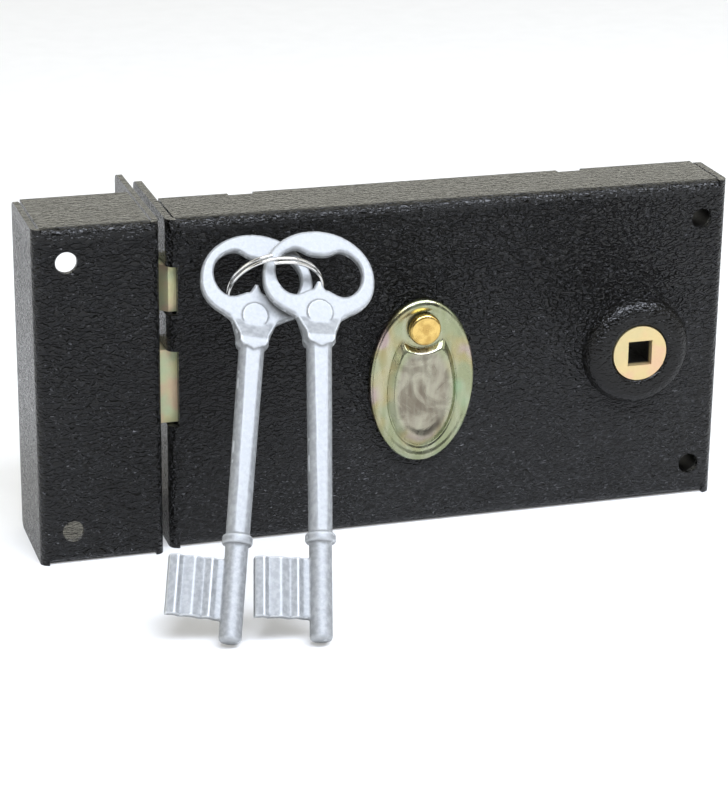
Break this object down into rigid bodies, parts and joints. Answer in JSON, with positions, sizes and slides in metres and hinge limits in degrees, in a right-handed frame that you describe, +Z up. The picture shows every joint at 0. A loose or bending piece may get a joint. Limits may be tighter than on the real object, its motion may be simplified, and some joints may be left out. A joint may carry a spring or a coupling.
{
  "type": "rim lock",
  "caption": "Rim box lock for the inner face of a door: sprung latch, warded deadbolt, square-spindle follower, swinging keyhole cover, keeper box and bit keys on a split ring.",
  "frame": {"origin": "middle of the underside of the case, which stands on the floor", "axes": "+X from the keeper and forend towards the follower, +Y from the face into the door, +Z up"},
  "size_m": [0.1741, 0.1062, 0.0836],
  "materials": {
    "case": "black wrinkle powder coat",
    "back_plate": "black wrinkle powder coat",
    "screw_tubes": "plain rolled steel",
    "pillars": "plain rolled steel",
    "plate_screws": "yellow passivated zinc plate",
    "guide_studs": "plain rolled steel",
    "keyhole_plate": "plain rolled steel",
    "spring_post": "plain rolled steel",
    "latch_spring": "drawn spring steel",
    "detent_post": "plain rolled steel",
    "detent_spring": "drawn spring steel",
    "follower": "yellow passivated zinc plate",
    "latch_bolt": "yellow passivated zinc plate",
    "latch_tail": "plain rolled steel",
    "latch_rivets": "plain rolled steel",
    "deadbolt": "yellow passivated zinc plate",
    "deadbolt_tail": "plain rolled steel",
    "deadbolt_rivets": "plain rolled steel",
    "key_cover": "yellow passivated zinc plate",
    "cover_washer": "plain rolled steel",
    "cover_rivet": "tumbled brass",
    "keeper": "black wrinkle powder coat",
    "key_1": "satin zinc plate",
    "key_2": "satin zinc plate",
    "split_ring": "bright nickel plate"
  },
  "bodies": {
    "case": {"case": "case", "back_plate": "back_plate", "screw_tubes": "screw_tubes", "pillars": "pillars", "plate_screws": "plate_screws", "guide_studs": "guide_studs", "keyhole_plate": "keyhole_plate", "spring_post": "spring_post", "latch_spring": "latch_spring", "detent_post": "detent_post", "detent_spring": "detent_spring", "cover_washer": "cover_washer", "cover_rivet": "cover_rivet"},
    "follower": {"follower": "follower"},
    "latch": {"latch_bolt": "latch_bolt", "latch_tail": "latch_tail", "latch_rivets": "latch_rivets"},
    "deadbolt": {"deadbolt": "deadbolt", "deadbolt_tail": "deadbolt_tail", "deadbolt_rivets": "deadbolt_rivets"},
    "key_cover": {"key_cover": "key_cover"},
    "keeper": {"keeper": "keeper"},
    "split_ring": {"split_ring": "split_ring"},
    "key_1": {"key_1": "key_1"},
    "key_2": {"key_2": "key_2"}
  },
  "joints": [
    {"name": "follower_turn", "type": "hinge", "parent": "case", "child": "follower", "pos_m": [0.048, 0, 0.041], "axis": [0, 1, 0], "range_deg": [0, 34]},
    {"name": "latch_slide", "type": "slide", "parent": "case", "child": "latch", "axis": [1, 0, 0], "range_m": [0, 0.0085], "stiffness_N_per_m": 40, "springref_m": -0.01, "deforming": ["latch_spring"]},
    {"name": "deadbolt_slide", "type": "slide", "parent": "case", "child": "deadbolt", "axis": [1, 0, 0], "range_m": [0, 0.013], "deforming": ["detent_spring"]},
    {"name": "key_cover_swing", "type": "hinge", "parent": "case", "child": "key_cover", "pos_m": [-0.0082, -0.01, 0.0519], "axis": [0, -1, 0], "range_deg": [0, 100]},
    {"name": "keeper_slide", "type": "slide", "parent": "case", "child": "keeper", "axis": [-1, 0, 0], "range_m": [0, 0.03]},
    {"name": "bunch_lift", "type": "slide", "parent": "case", "child": "split_ring", "axis": [0, 0, 1], "range_m": [0, 0.05]},
    {"name": "key_1_swing", "type": "hinge", "parent": "split_ring", "child": "key_1", "pos_m": [-0.05781, -0.01802, 0.06874], "axis": [0, 0.8041, -0.5945], "range_deg": [0, 25]},
    {"name": "key_2_swing", "type": "hinge", "parent": "split_ring", "child": "key_2", "pos_m": [-0.03747, -0.02055, 0.07134], "axis": [0, -0.8041, 0.5945], "range_deg": [0, 25]}
  ],
  "couplings": [
    {"joint": "follower_turn", "follows": "latch_slide", "rad_per_m": 67.797}
  ]
}
